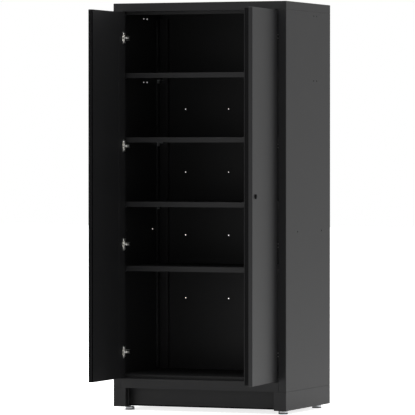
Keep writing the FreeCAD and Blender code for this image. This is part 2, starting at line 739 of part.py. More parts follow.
key = new_body("lock_cylinder")
sketch = new_sketch(key, "XZ", "-1 * key_length")
add_circle(sketch, LOCK, "key_radius")
add_feature(key, "Pad", sketch, "key_length + lock_flange_thickness")
sketch = new_sketch(key, "XZ", "lock_flange_thickness")
add_rectangle(sketch, (LOCK[0] + " - keyway_width / 2", LOCK_LEVEL + " - keyway_length / 2"),
              (LOCK[0] + " + keyway_width / 2", LOCK_LEVEL + " + keyway_length / 2"))
add_feature(key, "Pocket", sketch, "keyway_depth")
nodes.append(swing(key, "right"))

# The cam is a disc with two drive pins, one for each locking rod
CAM_BACK = "(key_length + cam_thickness)"
cam = new_body("lock_cam")
sketch = new_sketch(cam, "XZ", "-1 * " + CAM_BACK)
add_circle(sketch, LOCK, "cam_radius")
add_feature(cam, "Pad", sketch, "cam_thickness")
sketch = new_sketch(cam, "XZ", "-1 * (" + CAM_BACK + " + pin_length)")
add_circle(sketch, (LOCK[0] + " + pin_offset", LOCK_LEVEL + " - pin_offset"), "pin_radius")
add_circle(sketch, (LOCK[0] + " - pin_offset", LOCK_LEVEL + " + pin_offset"), "pin_radius")
add_feature(cam, "Pad", sketch, "pin_length")
nodes.append(swing(cam, "right"))

# Locking rods, one up and one down: each ends in a flat yoke whose slot a drive pin lifts or lowers
ROD = (across("right", LOCK_X), LINER_FACE + " + rod_setback")
ROD_SPANS = {
    "upper_rod": ("", LOCK_LEVEL + " + rod_start", DOOR_BOTTOM + " + " + DOOR_HEIGHT + " - rod_end_gap"),
    "lower_rod": ("-1 * ", DOOR_BOTTOM + " + rod_end_gap", LOCK_LEVEL + " - rod_start"),
}
YOKE_FACE = "(" + CAM_BACK + " + yoke_gap)"
PIN_SWEEP = "%.5f * pin_offset" % math.sqrt(2)
for label, (way, low, high) in ROD_SPANS.items():
    rod = new_body(label)
    sketch = new_sketch(rod, "XY", low)
    add_circle(sketch, ROD, "rod_radius")
    add_feature(rod, "Pad", sketch, high + " - (" + low + ")")
    sketch = new_sketch(rod, "XZ", "-1 * (" + YOKE_FACE + " + yoke_thickness)")
    yoke = [
        ("yoke_inner", "-pin_offset - yoke_margin"),
        ("yoke_outer", "-pin_offset - yoke_margin"),
        ("yoke_outer", "rod_start + yoke_overlap"),
        ("-rod_radius", "rod_start + yoke_overlap"),
        ("-rod_radius", "yoke_neck"),
        ("yoke_inner", "yoke_neck"),
    ]
    slot_start = "pin_offset - pin_radius - pin_play"
    slot_end = PIN_SWEEP + " + pin_radius + pin_play"
    slot_low = "-pin_offset - pin_radius - pin_play"
    slot_high = "-pin_offset + pin_radius + pin_play"
    slot = [(slot_start, slot_low), (slot_end, slot_low), (slot_end, slot_high), (slot_start, slot_high)]
    for outline in (yoke, slot):
        add_outline(sketch, [("%s + %s(%s)" % (LOCK[0], way, x), "%s + %s(%s)" % (LOCK_LEVEL, way, z))
                             for x, z in outline])
    add_feature(rod, "Pad", sketch, "yoke_thickness")
    nodes.append(swing(rod, "right"))
guides = new_body("rod_guides")
for offset in (" + guide_middle", " - guide_middle", " + guide_middle + guide_spread",
               " - guide_middle - guide_spread"):
    sketch = new_sketch(guides, "XY", LOCK_LEVEL + offset)
    add_rectangle(sketch, (ROD[0] + " - guide_width / 2", LINER_FACE),
                  (ROD[0] + " + guide_width / 2", LINER_FACE + " + 2 * rod_setback - 2 * door_steel"))
    add_circle(sketch, ROD, "rod_radius + running_clearance")
    add_feature(guides, "Pad", sketch, "guide_height")
nodes.append(swing(guides, "right"))

# Plinth sides: skirts whose ends wrap round to form the corner legs
for side in SIDES:
    outline = [
        (HALF, FRONT),
        (HALF, BACK),
        (HALF + " - leg_width", BACK),
        (HALF + " - leg_width", BACK + " - steel"),
        (WEB_FACE, BACK + " - steel"),
        (WEB_FACE, FRONT + " + steel"),
        (HALF + " - leg_width + steel", FRONT + " + steel"),
        (HALF + " - leg_width + steel", FRONT + " + leg_return"),
        (HALF + " - leg_width", FRONT + " + leg_return"),
        (HALF + " - leg_width", FRONT),
    ]
    outline = [(mirrored(side, x), y) for x, y in outline]
    skirt = folded("plinth_%s_side" % side, "XY", outline, BASE, "plinth_height")
    round_seams(skirt, [PLINTH_TOP])
    nodes.append(skirt)

# Kickplate: a recessed plate whose ends turn forward along the legs' returns and end in short lips
KICK_EDGE = "(body_width / 2 - leg_width)"
KICK_FACE = "(" + FRONT + " + kick_recess)"
KICK_TIP = "(" + KICK_FACE + " - kick_reach)"
half = [
    (KICK_EDGE + " - steel", KICK_FACE),
    (KICK_EDGE + " - steel", KICK_TIP + " + steel"),
    (KICK_EDGE + " - kick_lip", KICK_TIP + " + steel"),
    (KICK_EDGE + " - kick_lip", KICK_TIP),
    (KICK_EDGE, KICK_TIP),
    (KICK_EDGE, KICK_FACE + " + steel"),
]
nodes.append(folded("kickplate", "XY", half + [("-1 * (" + x + ")", y) for x, y in reversed(half)],
                    BASE + " + kick_lift", "plinth_height - kick_lift"))

# The rail that closes the plinth's back
nodes.append(folded("plinth_back_rail", "XY", [
    ("-1 * " + BACK_EDGE, BACK_FACE),
    (BACK_EDGE, BACK_FACE),
    (BACK_EDGE, BACK_FACE + " + steel"),
    ("-1 * " + BACK_EDGE, BACK_FACE + " + steel"),
], BASE + " + kick_lift", "plinth_height - kick_lift"))

# Foot brackets with their weld nuts, then the levelling feet that screw into them
FOOT_ROWS = {
    "front": (FRONT + " + foot_front_inset", KICK_FACE + " + steel"),
    "rear": (BACK + " - foot_rear_inset", BACK_FACE + " - bracket_length"),
}


def add_hexagon(sketch, centre, radius):
    """A six-sided outline with two corners on the x axis."""
    turns = [math.radians(60 * step) for step in range(6)]
    add_outline(sketch, [("%s + %.6f * %s" % (centre[0], math.cos(turn), radius),
                          "%s + %.6f * %s" % (centre[1], math.sin(turn), radius)) for turn in turns])


brackets = new_body("foot_brackets")
nuts = new_body("foot_nuts")
BRACKET_BOTTOM = "(floor_gap + bracket_height)"
BRACKET_TOP = "(floor_gap + bracket_height + bracket_thickness)"
plate_sketch = new_sketch(brackets, "XY", BRACKET_BOTTOM)
nut_sketch = new_sketch(nuts, "XY", BRACKET_TOP)
feet = []
for row, (foot_y, start) in FOOT_ROWS.items():
    for side in SIDES:
        centre = (mirrored(side, HALF + " - foot_side_inset"), foot_y)
        add_rectangle(plate_sketch, (mirrored(side, WEB_FACE), start),
                      (mirrored(side, WEB_FACE + " - bracket_width"), start + " + bracket_length"))
        add_circle(plate_sketch, centre, "stem_radius + running_clearance")
        add_hexagon(nut_sketch, centre, "nut_radius")
        add_circle(nut_sketch, centre, "stem_radius + running_clearance")
        feet.append((row + "_" + side, centre))
add_feature(brackets, "Pad", plate_sketch, "bracket_thickness")
add_feature(nuts, "Pad", nut_sketch, "nut_height")
nodes.append(brackets)
nodes.append(nuts)
for label, centre in feet:
    pad = new_body(label + "_foot_pad")
    sketch = new_sketch(pad, "XZ", "0")
    add_outline(sketch, [
        ("0", "0"),
        ("pad_radius", "0"),
        ("pad_radius", "pad_height - pad_round"),
        ("pad_radius - pad_round", "pad_height"),
        ("0", "pad_height"),
    ])
    turned = pad.newObject("PartDesign::Revolution", label + "_pad_turned")
    turned.Profile = sketch
    turned.ReferenceAxis = (sketch, ["V_Axis"])
    turned.Angle = 360
    stem = new_body(label + "_foot_stem")
    sketch = new_sketch(stem, "XY", "pad_height")
    add_circle(sketch, ("0", "0"), "stem_radius")
    add_feature(stem, "Pad", sketch, "stem_length")
    sketch = new_sketch(stem, "XY", "pad_height")
    add_hexagon(sketch, ("0", "0"), "wrench_radius")
    add_feature(stem, "Pad", sketch, "wrench_height")
    for piece in (pad, stem):
        piece.setExpression("Placement.Base.x", bound(centre[0]))
        piece.setExpression("Placement.Base.y", bound(centre[1]))
        nodes.append(piece)

doc.recompute()
for item in doc.Objects:
    if "Invalid" in item.State or "Error" in item.State:
        raise ValueError("%s did not recompute: %s" % (item.Label, item.State))
for node in nodes:
    if node.Shape.isNull() or not node.Shape.isValid() or not node.Shape.Solids:
        raise ValueError("%s has no valid solid" % node.Label)

os.makedirs("parts", exist_ok=True)
for node in nodes:
    node.Shape.exportStep("parts/%s.step" % node.Label)
    print("%s: %d solids, %.0f mm3" % (node.Label, len(node.Shape.Solids), node.Shape.Volume))
print("%d nodes" % len(nodes))
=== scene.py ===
import json
import math

import bmesh
import bpy
from mathutils import Matrix, Vector


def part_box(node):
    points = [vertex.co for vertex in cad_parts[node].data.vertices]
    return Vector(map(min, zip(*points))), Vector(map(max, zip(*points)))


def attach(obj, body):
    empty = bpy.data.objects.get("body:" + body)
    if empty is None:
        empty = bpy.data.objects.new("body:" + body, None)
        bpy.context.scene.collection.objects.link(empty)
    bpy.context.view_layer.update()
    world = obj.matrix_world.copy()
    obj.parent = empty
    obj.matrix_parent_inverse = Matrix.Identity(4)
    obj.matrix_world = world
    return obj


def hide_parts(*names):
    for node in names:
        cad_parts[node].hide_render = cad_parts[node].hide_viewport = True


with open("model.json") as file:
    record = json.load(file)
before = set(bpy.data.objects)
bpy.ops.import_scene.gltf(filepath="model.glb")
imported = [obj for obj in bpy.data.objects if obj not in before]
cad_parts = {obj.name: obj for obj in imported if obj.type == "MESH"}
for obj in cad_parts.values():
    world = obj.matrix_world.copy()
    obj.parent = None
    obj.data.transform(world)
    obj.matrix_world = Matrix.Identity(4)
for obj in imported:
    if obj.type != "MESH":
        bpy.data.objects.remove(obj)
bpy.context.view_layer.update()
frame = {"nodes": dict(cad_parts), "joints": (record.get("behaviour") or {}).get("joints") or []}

MM = 0.001

# Carcass: sides, back, cap, rails, floor, rear posts and plinth are folded from 1.5 mm sheet steel and
# spot welded. The welded box is sprayed with black polyester powder and baked, which leaves a satin
# skin with a fine orange peel, a little deeper in colour where the powder went on heavier.
SHEET_STEEL = 1.5 * MM


def linear(hex_colour):
    """An sRGB hex colour as the linear values that a shader takes."""
    channels = [int(hex_colour[start:start + 2], 16) / 255 for start in (1, 3, 5)]
    return [c / 12.92 if c <= 0.04045 else ((c + 0.055) / 1.055) ** 2.4 for c in channels] + [1.0]


def add_node(tree, kind, inputs, **settings):
    """Add a shader node with its settings, and set each input to a value or link it to a socket."""
    node = tree.nodes.new(kind)
    for name, value in settings.items():
        setattr(node, name, value)
    for name, value in inputs.items():
        if isinstance(value, bpy.types.NodeSocket):
            tree.links.new(value, node.inputs[name])
        else:
            node.inputs[name].default_value = value
    return node


def new_material(name, **constants):
    """A material with constants on its shader, its node tree and the object's own coordinates."""
    material = bpy.data.materials.new(name)
    material.use_nodes = True
    tree = material.node_tree
    shader = tree.nodes["Principled BSDF"]
    for socket, value in constants.items():
        shader.inputs[socket.replace("_", " ")].default_value = value
    place = add_node(tree, "ShaderNodeTexCoord", {}).outputs["Object"]
    return material, tree, shader, place


CLOUD_DETAIL, GRAIN_DETAIL = 3.0, 2.0


def new_finish(name, tones, grain_mm, roughness, relief_mm, relief_strength, cloud_mm=None,
               grain_detail=GRAIN_DETAIL, **constants):
    """A finish with a grain in its gloss and relief, and two tones in clouds, or else in the grain."""
    material, tree, shader, place = new_material(name, **constants)
    grain = add_node(tree, "ShaderNodeTexNoise", {
        "Vector": place, "Scale": 1 / (grain_mm * MM), "Detail": grain_detail}).outputs["Fac"]
    share = grain
    if cloud_mm:
        share = add_node(tree, "ShaderNodeTexNoise", {
            "Vector": place, "Scale": 1 / (cloud_mm * MM), "Detail": CLOUD_DETAIL}).outputs["Fac"]
    share_in, first_in, second_in, colour_out = 0, 6, 7, 2
    first, second = tones
    tone = add_node(tree, "ShaderNodeMix", {
        share_in: share, first_in: linear(first), second_in: linear(second)}, data_type="RGBA")
    tree.links.new(tone.outputs[colour_out], shader.inputs["Base Color"])
    smoothest, roughest = roughness
    gloss = add_node(tree, "ShaderNodeMapRange", {"Value": grain, "To Min": smoothest, "To Max": roughest})
    tree.links.new(gloss.outputs["Result"], shader.inputs["Roughness"])
    bump = add_node(tree, "ShaderNodeBump", {
        "Height": grain, "Distance": relief_mm * MM, "Strength": relief_strength})
    tree.links.new(bump.outputs["Normal"], shader.inputs["Normal"])
    return material


def coat(material, *names):
    """Give CAD nodes one finish."""
    for name in names:
        mesh = frame["nodes"][name].data
        mesh.materials.clear()
        mesh.materials.append(material)


# Real orange peel is about 1 mm across; it is drawn at 2.5 mm so that it shows.
HEAVY_PATCH_MM = 180
ORANGE_PEEL_MM = 2.5
black_coat = new_finish(
    "black_polyester_powder_coat", tones=("#161617", "#1b1b1c"), cloud_mm=HEAVY_PATCH_MM,
    grain_mm=ORANGE_PEEL_MM, roughness=(0.4, 0.5), relief_mm=0.05, relief_strength=0.3,
    IOR=1.5, Specular_IOR_Level=0.34)
coat(black_coat, "left_side_panel", "right_side_panel", "back_panel", "top_cap", "header_rail",
     "bottom_rail", "floor_panel", "left_rear_post", "right_rear_post", "plinth_left_side",
     "plinth_right_side", "kickplate", "plinth_back_rail", "foot_brackets")

# Shelves and standards: shelf trays with their lips turned down, and slotted channels welded to the
# sides, in the same powder. The clips that hook into the slots are pressed steel, bright zinc plated.
SHELF_COUNT = 4
coat(black_coat, *["shelf_%d" % (index + 1) for index in range(SHELF_COUNT)])
coat(black_coat, *["%s_%s_standard" % (side, row) for side in ("left", "right") for row in ("front", "rear")])

# Zinc is a cool bright metal with a faint bloom. The rolled grain under it is finer than the render
# can show, so it is drawn at 0.6 mm.
ZINC_BLOOM_MM = 9
ZINC_GRAIN_MM = 0.6
zinc_plate = new_finish(
    "zinc_plated_steel", tones=("#e8eaec", "#d4d7da"), cloud_mm=ZINC_BLOOM_MM, grain_mm=ZINC_GRAIN_MM,
    roughness=(0.28, 0.42), relief_mm=0.01, relief_strength=0.2, Metallic=1.0)
coat(zinc_plate, "shelf_clips")

# Feet: a moulded nylon pad under a pressed cup, and a zinc-plated M10 stem with a hexagon at its foot.
# The stem screws up through a nut that is welded to a bracket in the corner of the plinth.
coat(zinc_plate, "foot_nuts")

# Nylon comes out of a spark-finished mould with a dull sheen. That finish is finer than the render
# can show, so its grain is drawn at 1.5 mm.
MOULD_GRAIN_MM = 1.5
black_nylon = new_finish(
    "moulded_black_nylon", tones=("#171718", "#202021"), grain_mm=MOULD_GRAIN_MM,
    roughness=(0.5, 0.62), relief_mm=0.04, relief_strength=0.3, IOR=1.53)

MERGE_DISTANCE = 0.001 * MM


def finished_piece(name, form, material, body):
    """Turn a bmesh into a piece of the object that rides on a body."""
    bmesh.ops.remove_doubles(form, verts=form.verts, dist=MERGE_DISTANCE)
    bmesh.ops.recalc_face_normals(form, faces=form.faces)
    mesh = bpy.data.meshes.new(name)
    form.to_mesh(mesh)
    form.free()
    mesh.materials.append(material)
    piece = bpy.data.objects.new(name, mesh)
    bpy.context.scene.collection.objects.link(piece)
    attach(piece, body)
    return piece


HEXAGON_SIDES = 6
HEXAGON_HEIGHT, HEXAGON_CHAMFER = 6 * MM, 0.8 * MM
HEXAGON_TURN = math.radians(30)
STEM_RADIUS = 5 * MM
THREAD_DEPTH, THREAD_PITCH = 0.9 * MM, 1.5 * MM
THREAD_STEPS = 18
# The ridge's corners: out from the core in thread depths, and up in pitches
RIDGE_SECTION = [(-0.25, 0.05), (1.0, 0.5), (-0.25, 0.95)]


def threaded_stem(low, high):
    """A hexagon and a core with one helical ridge wound on it, standing in a stem's box."""
    form = bmesh.new()
    axis = Vector(((low.x + high.x) / 2, (low.y + high.y) / 2, 0))
    hexagon_radius = (high.x - low.x) / 2
    hexagon_middle = low.z + HEXAGON_HEIGHT / 2
    hexagon = bmesh.ops.create_cone(
        form, cap_ends=True, segments=HEXAGON_SIDES, radius1=hexagon_radius, radius2=hexagon_radius,
        depth=HEXAGON_HEIGHT, matrix=Matrix.Translation(axis + Vector((0, 0, hexagon_middle))))
    bmesh.ops.rotate(form, verts=hexagon["verts"], cent=axis, matrix=Matrix.Rotation(HEXAGON_TURN, 3, "Z"))
    top_edges = [edge for edge in form.edges if min(vert.co.z for vert in edge.verts) > hexagon_middle]
    bmesh.ops.bevel(form, geom=top_edges, offset=HEXAGON_CHAMFER, offset_type="OFFSET", affect="EDGES",
                    segments=1, profile=0.5, material=-1)
    core_radius = STEM_RADIUS - THREAD_DEPTH
    core_start = low.z + HEXAGON_HEIGHT
    core_length = high.z - core_start
    bmesh.ops.create_cone(
        form, cap_ends=True, segments=THREAD_STEPS, radius1=core_radius, radius2=core_radius,
        depth=core_length, matrix=Matrix.Translation(axis + Vector((0, 0, core_start + core_length / 2))))
    ridge_foot = axis + Vector((core_radius, 0, core_start))
    ridge = [form.verts.new(ridge_foot + Vector((THREAD_DEPTH * out, 0, THREAD_PITCH * up)))
             for out, up in RIDGE_SECTION]
    section = form.faces.new(ridge)
    plain_end_turns = 1
    turns = int(core_length / THREAD_PITCH) - plain_end_turns
    bmesh.ops.spin(form, geom=[section, *section.edges, *ridge], cent=axis, axis=(0, 0, 1),
                   angle=2 * math.pi * turns, steps=THREAD_STEPS * turns,
                   dvec=(0, 0, THREAD_PITCH / THREAD_STEPS), use_merge=False)
    return form


CUP_PROFILE_MM = [(21.6, 0), (22.8, 0), (22.8, 8.5), (22.1, 10.4), (20.2, 11.5), (9.5, 11.5), (9.5, 10.3),
                  (19.8, 10.3), (21.0, 9.6), (21.6, 8.2)]
CUP_STEPS = 48


def join_loop(form, corners):
    """Join vertices in their order by a closed loop of edges."""
    return [form.edges.new((corners[step - 1], corners[step])) for step in range(len(corners))]


def spin_ring(form, profile_mm, place, steps):
    """Turn a closed profile of radii and heights about the Z axis of a place."""
    others = set(form.verts)
    corners = [form.verts.new((radius * MM, 0, height * MM)) for radius, height in profile_mm]
    outline = join_loop(form, corners)
    bmesh.ops.spin(form, geom=corners + outline, cent=(0, 0, 0), axis=(0, 0, 1), angle=2 * math.pi,
                   steps=steps, use_merge=True)
    bmesh.ops.transform(form, verts=[vert for vert in form.verts if vert not in others], matrix=place)


for foot in ["%s_%s_foot" % (row, side) for row in ("front", "rear") for side in ("left", "right")]:
    coat(black_nylon, foot + "_pad")
    pad_low, pad_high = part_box(foot + "_pad")
    cup = bmesh.new()
    seat = Matrix.Translation(((pad_low.x + pad_high.x) / 2, (pad_low.y + pad_high.y) / 2, pad_high.z))
    spin_ring(cup, CUP_PROFILE_MM, seat, CUP_STEPS)
    finished_piece(foot + "_cup", cup, zinc_plate, foot)
    thread = threaded_stem(*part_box(foot + "_stem"))
    stem = finished_piece(foot + "_thread", thread, zinc_plate, foot)
    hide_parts(foot + "_stem")

# Hole bushes: snap-in nylon rings line the fixing holes in the back, so that a wall screw or a cable
# doesn't scrape the powder. One link hole, at the front of the left side, is shut with a push-in plug.
BUSH_PROFILE_MM = [(2.75, -1.5), (3.85, -1.5), (3.85, 0), (6.5, 0), (6.5, 0.7), (5.9, 1.2), (3.1, 1.2),
                   (2.75, 0.8)]
BUSH_STEPS = 24
HOLE_COLUMNS = [x * MM for x in (-327, -90, 90, 327)]
HOLE_ROWS = [z * MM for z in (539, 860, 1181, 1502)]


def facing(point, direction):
    """A place at a point with its own Z axis along a direction."""
    return Matrix.Translation(point) @ Vector(direction).to_track_quat("Z", "Y").to_matrix().to_4x4()


bushes = bmesh.new()
back_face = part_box("back_panel")[0].y
for x in HOLE_COLUMNS:
    for z in HOLE_ROWS:
        spin_ring(bushes, BUSH_PROFILE_MM, facing((x, back_face, z), (0, -1, 0)), BUSH_STEPS)
finished_piece("back_hole_bushes", bushes, black_nylon, "cabinet")

PLUG_Y, PLUG_Z = -148 * MM, 892 * MM
PLUG_HEAD, PLUG_CROWN, PLUG_SHANK, PLUG_RISE = 6.5 * MM, 4.8 * MM, 3.8 * MM, 1.3 * MM
plug = bmesh.new()
wall_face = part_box("left_side_panel")[0].x + SHEET_STEEL
for middle, outer_radius, inner_radius, length in (
        (wall_face + PLUG_RISE / 2, PLUG_HEAD, PLUG_CROWN, PLUG_RISE),
        (wall_face - SHEET_STEEL / 2, PLUG_SHANK, PLUG_SHANK, SHEET_STEEL)):
    bmesh.ops.create_cone(plug, cap_ends=True, segments=BUSH_STEPS, radius1=outer_radius,
                          radius2=inner_radius, depth=length,
                          matrix=facing((middle, PLUG_Y, PLUG_Z), (1, 0, 0)))
finished_piece("left_link_hole_plug", plug, black_nylon, "cabinet")

# Doors: each is a pan of 1.2 mm sheet with a liner that closes it. The left one carries the strip that
# the right one shuts against, and the right one the channel over the locking rods. Same powder.
coat(black_coat, "left_door_skin", "left_door_liner", "left_overlap_strip", "right_door_skin",
     "right_door_liner", "right_lock_channel")

# What is fixed to a door is laid out on the shut door, then swung open with it. The far limit shuts it.
door_place = {}
for joint in frame["joints"]:
    if joint["name"] in ("left_door_swing", "right_door_swing"):
        closing = math.radians(max(joint["range_deg"], key=abs))
        hinge_line = Matrix.Translation((*joint["pos_m"][:2], 0))
        door_place[joint["child"]] = hinge_line @ Matrix.Rotation(-closing, 4, "Z")

# Closing seals: extruded rubber strips with two soft ribs, glued down the left door's free edge and
# down the side of the right door's channel. Rubber is matt and dark, and the seals' near-black is also
# painted shade, for the shade on the left door's end and on the channel's side. The die's grain is
# finer than the render can show, so it is drawn at 2 mm.
RUBBER_GRAIN_MM = 2
black_rubber_and_painted_shade = new_finish(
    "extruded_rubber_and_painted_shade", tones=("#0b0b0c", "#101011"), grain_mm=RUBBER_GRAIN_MM,
    roughness=(0.7, 0.82), relief_mm=0.03, relief_strength=0.3, IOR=1.52, Specular_IOR_Level=0.1)
SEAL_THICKNESS, SEAL_GROOVE = 1.8 * MM, 0.9 * MM
RIB_WIDTH, RIB_ROUND, RIB_SLOPE = 4 * MM, 1 * MM, 0.8 * MM
STRIP_END_GAP = 4 * MM


def ribbed(face, front, rear):
    """The outline of a seal with a rib along each side, on a face that looks to a door's free edge."""
    top, groove = face + SEAL_THICKNESS, face + SEAL_GROOVE
    return [(face, front), (face, rear), (top, rear - RIB_ROUND), (top, rear - RIB_WIDTH),
            (groove, rear - RIB_WIDTH - RIB_SLOPE), (groove, front + RIB_WIDTH + RIB_SLOPE),
            (top, front + RIB_WIDTH), (top, front + RIB_ROUND)]


def extrude_outline(form, points, reach):
    """Add a bar that has the points as its outline and runs along a vector."""
    section = form.faces.new([form.verts.new(point) for point in points])
    grown = bmesh.ops.extrude_face_region(form, geom=[section])["geom"]
    far_end = [item for item in grown if isinstance(item, bmesh.types.BMVert)]
    bmesh.ops.translate(form, verts=far_end, vec=reach)


def add_door_strip(side, name, outline, material):
    """A strip down a door, its outline given from the hinge across the door and back from its front."""
    low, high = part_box(side + "_door_skin")
    across = 1 if side == "left" else -1
    form = bmesh.new()
    extrude_outline(form, [(across * x, y, low.z + STRIP_END_GAP) for x, y in outline],
                    (0, 0, high.z - low.z - 2 * STRIP_END_GAP))
    bmesh.ops.transform(form, verts=form.verts, matrix=door_place[side + "_door"])
    finished_piece(name, form, material, side + "_door")


DOOR_WIDTH = 414.5 * MM
EDGE_SEAL_FRONT, EDGE_SEAL_REAR = 1.5 * MM, 14 * MM
CHANNEL_INSET = 25 * MM
CHANNEL_SEAL_FRONT, CHANNEL_SEAL_REAR = 21 * MM, 47 * MM
# Both seals are near black: partly the rubber's own colour, partly painted shade on the door's end and the
# channel's side.
add_door_strip("left", "left_edge_seal_painted_shade", ribbed(DOOR_WIDTH, EDGE_SEAL_FRONT, EDGE_SEAL_REAR), black_rubber_and_painted_shade)
add_door_strip("right", "right_channel_seal_painted_shade",
               ribbed(DOOR_WIDTH - CHANNEL_INSET, CHANNEL_SEAL_FRONT, CHANNEL_SEAL_REAR), black_rubber_and_painted_shade)

# Buffer felt: a needled strip glued to the back of the left door's overlap strip, where it reaches past
# the door. Felt is dark, and its near-black here is painted shade for the groove at the strip's root, so
# it is the blackest thing on the cabinet. The fibres are too fine to show, so they are drawn as tufts of 1.5
# mm.
FELT_TUFT_MM = 1.5
black_felt_painted_shade = new_finish(
    "needled_felt_painted_shade", tones=("#050505", "#0b0b0c"), grain_mm=FELT_TUFT_MM, grain_detail=3.0,
    roughness=(0.9, 1.0), relief_mm=0.2, relief_strength=0.5, Specular_IOR_Level=0.0)
OVERLAP_BACK = 22.2 * MM
FELT_THICKNESS, FELT_CORNER = 1.2 * MM, 0.5 * MM
FELT_INNER, FELT_OUTER = DOOR_WIDTH - 1 * MM, DOOR_WIDTH + 14 * MM
FELT_FACE = OVERLAP_BACK + FELT_THICKNESS
felt_outline = [
    (FELT_INNER, OVERLAP_BACK), (FELT_OUTER, OVERLAP_BACK), (FELT_OUTER, FELT_FACE - FELT_CORNER),
    (FELT_OUTER - FELT_CORNER, FELT_FACE), (FELT_INNER + FELT_CORNER, FELT_FACE),
    (FELT_INNER, FELT_FACE - FELT_CORNER)]
# The felt is near black: painted shade for the groove at the overlap strip's root.
add_door_strip("left", "left_overlap_felt_painted_shade", felt_outline, black_felt_painted_shade)

# Kickplate trim: an extruded rubber edging glued over the lower edge of the kickplate and of its
# returns, which hides the cut sheet and nearly reaches the bottom line of the plinth's sides.
TRIM_DROP, TRIM_LAP, TRIM_SHOULDER = 3.5 * MM, 3 * MM, 1.8 * MM
TRIM_THICKNESS = 1.8 * MM
TRIM_MIDDLE, TRIM_FACE = SHEET_STEEL + TRIM_THICKNESS / 2, SHEET_STEEL + TRIM_THICKNESS
TRIM_OUTLINE = [
    (0, 0), (0, -TRIM_DROP), (TRIM_MIDDLE, -TRIM_DROP), (TRIM_FACE, -TRIM_DROP / 2),
    (TRIM_FACE, TRIM_SHOULDER), (TRIM_MIDDLE, TRIM_LAP), (SHEET_STEEL, TRIM_LAP), (SHEET_STEEL, 0)]
kick_low, kick_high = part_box("kickplate")
kick_trim = bmesh.new()
extrude_outline(kick_trim, [(kick_low.x + SHEET_STEEL, kick_high.y - depth, kick_low.z + rise)
                            for depth, rise in TRIM_OUTLINE],
                (kick_high.x - kick_low.x - 2 * SHEET_STEEL, 0, 0))
for end, inward in ((kick_low.x, 1), (kick_high.x, -1)):
    extrude_outline(kick_trim, [(end + inward * depth, kick_low.y + SHEET_STEEL, kick_low.z + rise)
                                for depth, rise in TRIM_OUTLINE],
                    (0, kick_high.y - kick_low.y - SHEET_STEEL, 0))
finished_piece("kickplate_trim", kick_trim, black_rubber_and_painted_shade, "cabinet")

# Hinges: four concealed cup hinges to a door, pressed from steel and nickel plated. Cross-head screws
# hold the cups' flanges to the door and the plates to the stile, and two more set each arm.
# Nickel is warmer and brighter than zinc; its grain too is drawn coarser than it is.
NICKEL_CLOUD_MM = 14
NICKEL_GRAIN_MM = 0.5
nickel_plate = new_finish(
    "nickel_plated_steel", tones=("#f4f3f0", "#e4e3df"), cloud_mm=NICKEL_CLOUD_MM,
    grain_mm=NICKEL_GRAIN_MM, roughness=(0.24, 0.38), relief_mm=0.01, relief_strength=0.2, Metallic=1.0)
for side in ("left", "right"):
    coat(nickel_plate, *["%s_hinge_%s" % (side, part) for part in ("cups", "links", "plates", "arms")])

SCREW_SEGMENTS = 24
# The rings of a head's dome, as shares of its radius and of its height
DOME_RINGS = [(1.0, 0.45), (0.93, 0.75), (0.78, 1.0)]
# The cross, as shares of the radius, and its depth as a share of the height
CROSS_ARM, CROSS_WIDTH, CROSS_DEPTH = 0.62, 0.18, 0.6
CROSS_TAPER = 0.6


def grow_loop(form, loop):
    """Extrude a closed loop of edges, and give the new vertices and the loop that they make."""
    grown = bmesh.ops.extrude_edge_only(form, edges=loop)["geom"]
    ring = [item for item in grown if isinstance(item, bmesh.types.BMVert)]
    edges = [item for item in grown if isinstance(item, bmesh.types.BMEdge)]
    return ring, [edge for edge in edges if all(vert in ring for vert in edge.verts)]


def add_screw_head(form, radius, height, place):
    """A domed screw head on its seat, sunk in the middle with a tapering cross."""
    made = list(bmesh.ops.create_circle(form, segments=SCREW_SEGMENTS, radius=radius)["verts"])
    seat = list(dict.fromkeys(edge for vert in made for edge in vert.link_edges))
    loop = seat
    for share, rise in DOME_RINGS:
        ring, loop = grow_loop(form, loop)
        for vert in ring:
            vert.co = Vector((vert.co.x, vert.co.y, 0)).normalized() * radius * share
            vert.co.z = height * rise
        made += ring
    corners = []
    for quarter in range(4):
        turn = Matrix.Rotation(quarter * math.pi / 2, 3, "Z")
        for x, y in ((CROSS_WIDTH, CROSS_WIDTH), (CROSS_WIDTH, CROSS_ARM), (-CROSS_WIDTH, CROSS_ARM)):
            corners.append(form.verts.new(turn @ Vector((x * radius, y * radius, height))))
    cross = join_loop(form, corners)
    bmesh.ops.bridge_loops(form, edges=loop + cross)
    sunk, sunk_loop = grow_loop(form, cross)
    for vert in sunk:
        vert.co = Vector((vert.co.x * CROSS_TAPER, vert.co.y * CROSS_TAPER, height * (1 - CROSS_DEPTH)))
    bmesh.ops.edgeloop_fill(form, edges=sunk_loop)
    bmesh.ops.edgeloop_fill(form, edges=seat)
    bmesh.ops.transform(form, verts=made + corners + sunk, matrix=place)


